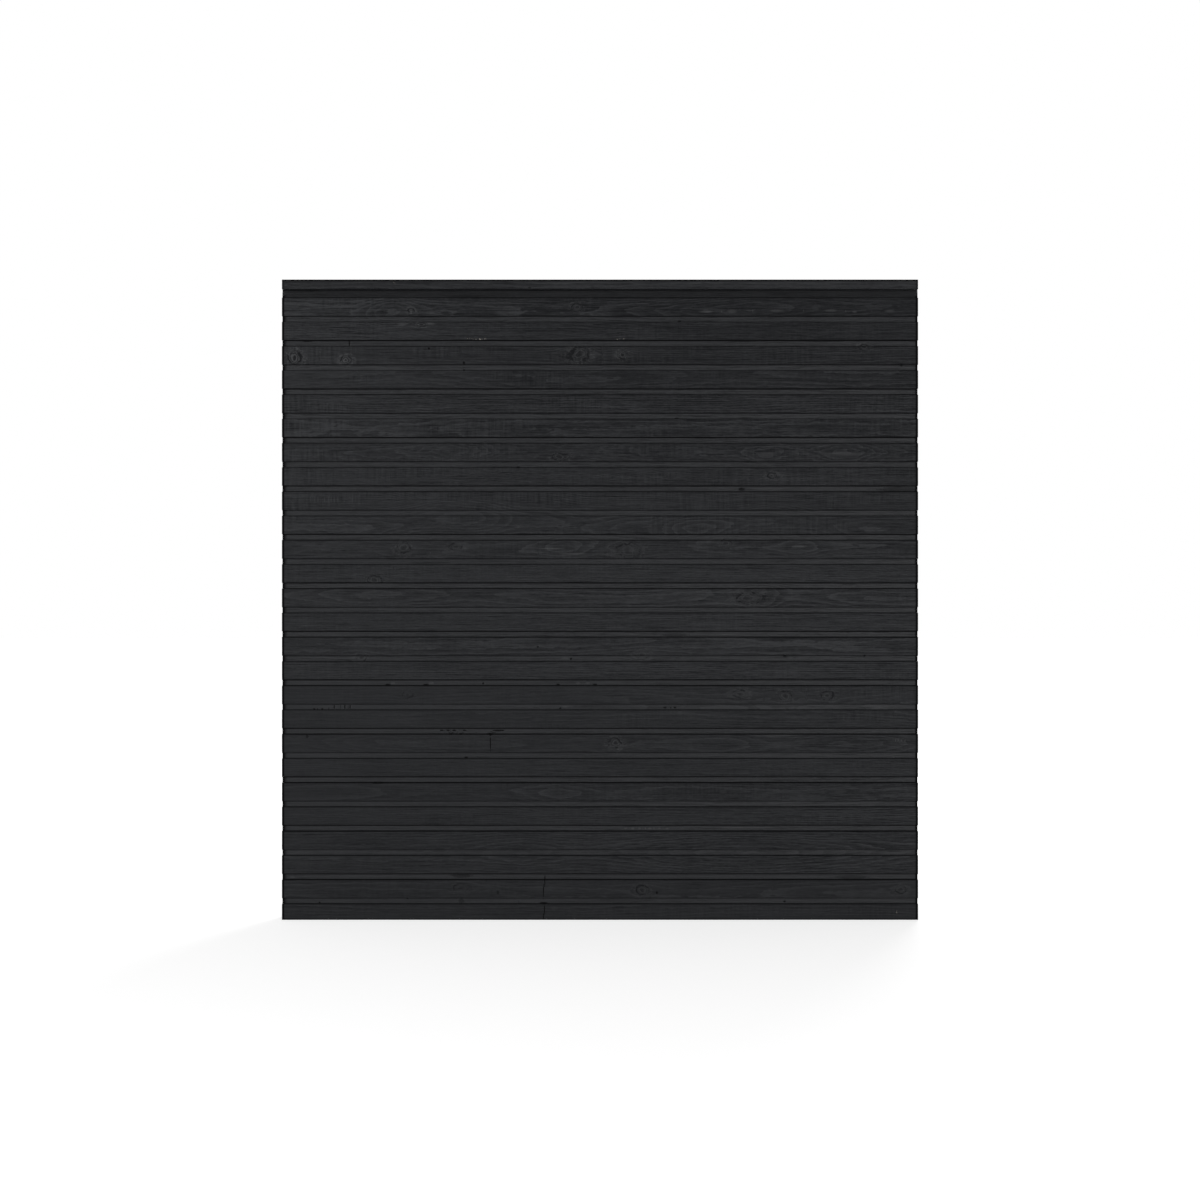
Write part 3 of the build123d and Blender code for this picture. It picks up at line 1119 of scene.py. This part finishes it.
def finish_mesh(mesh):
    """Faces outwards and smooth across all but its real edges."""
    work = bmesh.new()
    work.from_mesh(mesh)
    bmesh.ops.remove_doubles(work, verts=work.verts, dist=MERGE)
    bmesh.ops.recalc_face_normals(work, faces=work.faces)
    work.to_mesh(mesh)
    work.free()
    mesh.shade_smooth()
    mesh.set_sharp_from_angle(angle=SHARP_ANGLE)


def turned_mesh(name, rings):
    """A closed mesh of rings round the Z axis, each (radius, depth, how far its lobes reach)."""
    points, faces = [], []
    for radius, depth, lobe in rings:
        for index in range(SCREW_SIDES):
            angle = 2 * math.pi * index / SCREW_SIDES
            reach = radius + lobe * math.cos(SCREW_LOBES * angle)
            points.append((reach * math.cos(angle), reach * math.sin(angle), -depth))
    for ring in range(len(rings) - 1):
        first = ring * SCREW_SIDES
        for index in range(SCREW_SIDES):
            here, ahead = first + index, first + (index + 1) % SCREW_SIDES
            faces.append((here, ahead, ahead + SCREW_SIDES, here + SCREW_SIDES))
    faces += [tuple(range(SCREW_SIDES)), tuple(range(len(points) - SCREW_SIDES, len(points)))]
    mesh = bpy.data.meshes.new(name)
    mesh.from_pydata(points, [], faces)
    finish_mesh(mesh)
    return add_object(name, mesh)


def screw_body(s, long):
    """A countersunk screw with a six-lobed drive, its head at the origin, pointing down."""
    edge = SCREW_EDGE
    rings = (
        (s.screw_drive - edge, s.screw_drive, edge),
        (s.screw_drive, 0.0, 1.6 * edge),
        (s.screw_head - edge, 0.0, 0.0),
        (s.screw_head, edge, 0.0),
        (s.screw_shank, s.screw_head_height, 0.0),
        (s.screw_shank, long - s.screw_tip, 0.0),
        (0.2 * s.screw_shank, long, 0.0),
    )
    return turned_mesh("screw", rings)


def screw_hole(s, long):
    """What is cut away for such a screw, a little wider and deeper, and open above its head."""
    head, shank = s.screw_head + s.screw_clearance, s.screw_shank + s.screw_clearance
    ends = ((head, -HOLE_SPARE), (head, 0.0), (shank, s.screw_head_height), (shank, long + HOLE_SPARE))
    return turned_mesh("screw_hole", [(radius, depth, 0.0) for radius, depth in ends])


class ScrewRow:
    """The screws of one CAD node: where their heads lie, which way they point and how long they are."""

    def __init__(self, node, s):
        low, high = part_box(node)
        middle = (low + high) / 2
        if node.startswith("cap"):
            battens = [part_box(name) for name in BATTEN_NODES]
            self.places = [((left.x + right.x) / 2, middle.y, high.z) for left, right in battens]
            self.tilt, self.length = (0.0, 0.0, 0.0), high.z - low.z
        else:
            first = TOP_PLANK_BOTTOM + section_sizes(s)[0] + s.block_face / 2
            levels = [first - index * PLANK_PITCH for index in range(len(PLANK_NODES))]
            self.places = [(middle.x, high.y, level) for level in levels]
            self.tilt, self.length = (-math.pi / 2, 0.0, 0.0), high.y - low.y

    def instances(self, name, body, seed, material=None):
        """The given body set at each of the places."""
        mesh = bpy.data.meshes.new("places")
        mesh.from_pydata(self.places, [], [])
        places = add_object("places", mesh)
        values = {"Places": places, "Screw": body, "Seed": seed, "Tilt": self.tilt, "Material": material}
        made = run_tree(name, bpy.data.node_groups["screw_row"], values)
        remove(places, body)
        return made


def cut_screw_holes(piece, rows, rails):
    """Cuts the screws' holes out of a wooden member."""
    for row in rows:
        cutter = row.instances("holes", screw_hole(rails, row.length), 0)
        modifier = piece.modifiers.new("holes", "BOOLEAN")
        modifier.operation = "DIFFERENCE"
        modifier.solver = "EXACT"
        modifier.object = cutter
        make_plain(piece)
        remove(cutter)


class FENCE_OT_planks(bpy.types.Operator):
    """Build the planks with their grain, knots and blemishes"""

    bl_idname = "fence.planks"
    bl_label = "Planks"

    def execute(self, context):
        settings = context.scene.fence_planks
        material = painted_wood("painted_planks", context.scene.fence_finish, 0.0)
        for index, node in enumerate(PLANK_NODES):
            low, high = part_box(node)
            bottom, face = TOP_PLANK_BOTTOM - index * PLANK_PITCH, low.y
            knots, marks = KNOTS.get(node, ()), MARKS.get(node, ())
            places = [(mark.x, mark.half_length) for mark in marks if mark.half_length < FINE_MARK]
            places += [(knot.x, knot.half_length) for knot in knots if knot.half_length < FINE_KNOT]
            growth = GROWTH[index]
            outline = plank_outline(settings, max(0.0, low.z - bottom))
            rail = stations(low.x, high.x, settings.step_along, places)
            made = sweep(f"{node}_board", outline, face, bottom, rail, material, settings.bow, growth.seed)
            finish_mesh(made.data)
            points = places_of(made.data)
            carve(points, bottom, knots, marks)
            roughen_edges(points, growth.seed, (low.x, high.x))
            points[:, 2] = np.maximum(points[:, 2], CAD_LOW.z)
            set_places(made.data, points)
            # Painted shade in the grooves' corners, at the joints and under the cap, and painted light and
            # shade over the panel
            creases = groove_creases(points, settings, face, bottom)
            groove = settings.groove_depth
            shade = painted_light_and_shade(points, points[:, 1] - face > 0.5 * groove)
            grain_fields(made.data, points, growth, bottom, knots, marks, face, groove, creases, shade)
            settle(made, "painted_planks", node)
        return {"FINISHED"}


class FENCE_OT_cap(bpy.types.Operator):
    """Build the cap board"""

    bl_idname = "fence.cap"
    bl_label = "Cap Board"

    def execute(self, context):
        rails, planks = context.scene.fence_rails, context.scene.fence_planks
        material = painted_wood("painted_cap", context.scene.fence_finish, 1.0)
        low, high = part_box("cap_board")
        marks = MARKS["cap_board"]
        outline = cap_outline(high.y - low.y, high.z - low.z, rails, planks, FRONT_Y - low.y)
        rail = stations(low.x, high.x, planks.step_along, [(mark.x, mark.half_length) for mark in marks])
        made = sweep("cap_board_top", outline, low.y, low.z, rail, material, 0.0, CAP_SEED)
        cut_screw_holes(made, [ScrewRow("cap_screws", planks)], rails)
        finish_mesh(made.data)
        points = places_of(made.data)
        carve(points, low.z, (), marks)
        roughen_edges(points, CAP_WEAR_SEED, (low.x, high.x))
        set_places(made.data, points)
        # The cap's upper front edge and its ends are painted darker
        upper_edge = fading(high.z - points[:, 2], CAP_EDGE_DARK, CAP_EDGE_REACH)
        upper_edge = np.where(points[:, 1] < low.y + rails.cap_arris, upper_edge, 0)
        creases = np.maximum(dark_ends(points) * CAP_END_TONE, upper_edge)
        growth = Growth((110, 60), 4.2, 4, 500, 40, (0.3, 0.3), (1.2, 1.2))
        # Painted light: the cap's front is painted lighter towards the right
        across = (points[:, 0] - low.x) / (high.x - low.x)
        shade = CAP_SHADE_START + CAP_SHADE * across
        grain_fields(made.data, points, growth, low.z, (), marks, low.y, 1.0, creases, shade)
        settle(made, "painted_cap", "cap_board")
        return {"FINISHED"}


class FENCE_OT_battens(bpy.types.Operator):
    """Build the battens behind the planks"""

    bl_idname = "fence.battens"
    bl_label = "Battens"

    def execute(self, context):
        rails, planks = context.scene.fence_rails, context.scene.fence_planks
        material = painted_wood("painted_battens", context.scene.fence_finish, 0.5, upright=True)
        for index, node in enumerate(BATTEN_NODES):
            low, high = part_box(node)
            seed = BATTEN_SEED + index
            outline = batten_outline(high.x - low.x, high.y - low.y, rails.batten_arris)
            rail = stations(low.z, high.z, BATTEN_STEP)
            made = sweep(f"{node}_post", outline, low.y, low.x, rail, material, 0.0, seed)
            set_places(made.data, places_of(made.data)[:, [2, 1, 0]])
            finish_mesh(made.data)
            screws = node.replace("batten", "plank_screws")
            cut_screw_holes(made, [ScrewRow(screws, planks), ScrewRow("cap_screws", planks)], rails)
            finish_mesh(made.data)
            laid = places_of(made.data)[:, [2, 1, 0]]
            growth = Growth((75, 10 + 12 * index), 3.4, 5, 400, seed, (0.4, 0.4), (1.2, 1.2))
            knots = (Knot(520 + 310 * index, 20, 7, 1.4), Knot(1550 - 270 * index, 30, 6, 1.5))
            grain_fields(made.data, laid, growth, low.x, knots, (), low.y, 1.0, upright=True)
            settle(made, "painted_battens", node)
        return {"FINISHED"}


class FENCE_OT_screws(bpy.types.Operator):
    """Build the screws, each row turned at random about their axes"""

    bl_idname = "fence.screws"
    bl_label = "Screws"

    def execute(self, context):
        rails, planks = context.scene.fence_rails, context.scene.fence_planks
        material = coated_steel("coated_steel", context.scene.fence_finish)
        for index, node in enumerate(SCREW_NODES):
            row = ScrewRow(node, planks)
            made = row.instances(f"{node}_row", screw_body(rails, row.length), index + 1, material)
            settle(made, "screws", node)
        return {"FINISHED"}


class FENCE_OT_stage(bpy.types.Operator):
    """Set the floor, the lamps, the world and the camera"""

    bl_idname = "fence.stage"
    bl_label = "Stage"

    def execute(self, context):
        make_floor(context.scene.fence_finish)
        for name, values in LAMPS.items():
            make_lamp(name, *values)
        make_world()
        make_camera(context.scene)
        context.scene.view_settings.view_transform = "Standard"
        return {"FINISHED"}


def make_camera(scene):
    """The camera stands square in front at half height, at the photograph's scale."""
    span = PHOTO_PIXELS / PANEL_PIXELS * (CAD_HIGH.x - CAD_LOW.x)
    data = bpy.data.cameras.new("camera")
    data.sensor_width = SENSOR / MM
    data.lens = SENSOR / MM * CAMERA_DISTANCE / span
    camera = add_object("camera", data)
    camera.location = (0.0, FRONT_Y - CAMERA_DISTANCE, CAMERA_HEIGHT)
    camera.rotation_euler = (math.pi / 2, 0.0, 0.0)
    scene.camera = camera


def make_floor(finish):
    """A pale floor that keeps the panel's shadow and meets the background without an edge.

    It glows less near the panel, where the lamps light it, so that the shadow isn't washed out.
    """
    n = ShaderNodes(bpy.data.materials.new("floor"))
    x, y, _ = n.split(n.object_place())
    far = (x * x + y * y).sqrt().step(FLOOR_NEAR, FLOOR_FAR)
    glow = n.mix(far, rgba((FLOOR_NEAR_GLOW,) * 3), WHITE)
    light = {"Emission Color": glow, "Emission Strength": n.background_rays() * FLOOR_WHITE}
    material = n.principled({"Base Color": rgba(finish.floor), "Roughness": 0.9, **light})
    mesh = bpy.data.meshes.new("floor")
    corners = [(x * FLOOR_HALF, y * FLOOR_HALF, 0.0) for x, y in ((-1, -1), (1, -1), (1, 1), (-1, 1))]
    mesh.from_pydata(corners, [], [(0, 1, 2, 3)])
    mesh.materials.append(material)
    add_object("floor", mesh)


def make_lamp(name, place, aim, size, power):
    data = bpy.data.lights.new(name, "AREA")
    data.shape = "DISK"
    data.size = size
    data.energy = power
    lamp = add_object(name, data)
    lamp.location = place
    lamp.rotation_mode = "QUATERNION"
    lamp.rotation_quaternion = (Vector(aim) - Vector(place)).to_track_quat("-Z", "Y")


def make_world():
    """Soft light from all round, which the camera, gloss and glass see as white."""
    n = ShaderNodes(bpy.data.worlds.new("world"))
    strength = n.background_rays() * (1.0 - WORLD_LIGHT) + WORLD_LIGHT
    white = n.make("ShaderNodeBackground", None, {"Color": WHITE, "Strength": strength})
    bpy.context.scene.world = n.surface(white, "ShaderNodeOutputWorld")


class FENCE_PT_panel(bpy.types.Panel):
    """Lists the steps that build the fence panel"""

    bl_idname = "FENCE_PT_panel"
    bl_label = "Painted Fence Panel"
    bl_space_type = "VIEW_3D"
    bl_region_type = "UI"
    bl_category = "Fence"

    def draw(self, context):
        column = self.layout.column()
        for group in (context.scene.fence_planks, context.scene.fence_rails, context.scene.fence_finish):
            for key in group.__annotations__:
                column.prop(group, key)
        for step in OPERATORS:
            column.operator(step.bl_idname)


SETTINGS = {
    "fence_planks": FencePlankSettings,
    "fence_rails": FenceRailSettings,
    "fence_finish": FenceFinishSettings,
}
OPERATORS = (FENCE_OT_planks, FENCE_OT_cap, FENCE_OT_battens, FENCE_OT_screws, FENCE_OT_stage)


def register():
    for group in SETTINGS.values():
        bpy.utils.register_class(group)
    for name, group in SETTINGS.items():
        setattr(bpy.types.Scene, name, bpy.props.PointerProperty(type=group))
    for step in OPERATORS:
        bpy.utils.register_class(step)
    bpy.utils.register_class(FENCE_PT_panel)


def unregister():
    bpy.utils.unregister_class(FENCE_PT_panel)
    for step in reversed(OPERATORS):
        bpy.utils.unregister_class(step)
    for name in SETTINGS:
        delattr(bpy.types.Scene, name)
    for group in reversed(SETTINGS.values()):
        bpy.utils.unregister_class(group)


def main():
    register()
    swept_member_tree()
    screw_row_tree()
    bpy.ops.fence.planks()
    bpy.ops.fence.cap()
    bpy.ops.fence.battens()
    bpy.ops.fence.screws()
    bpy.ops.fence.stage()


if __name__ == "__main__":
    main()
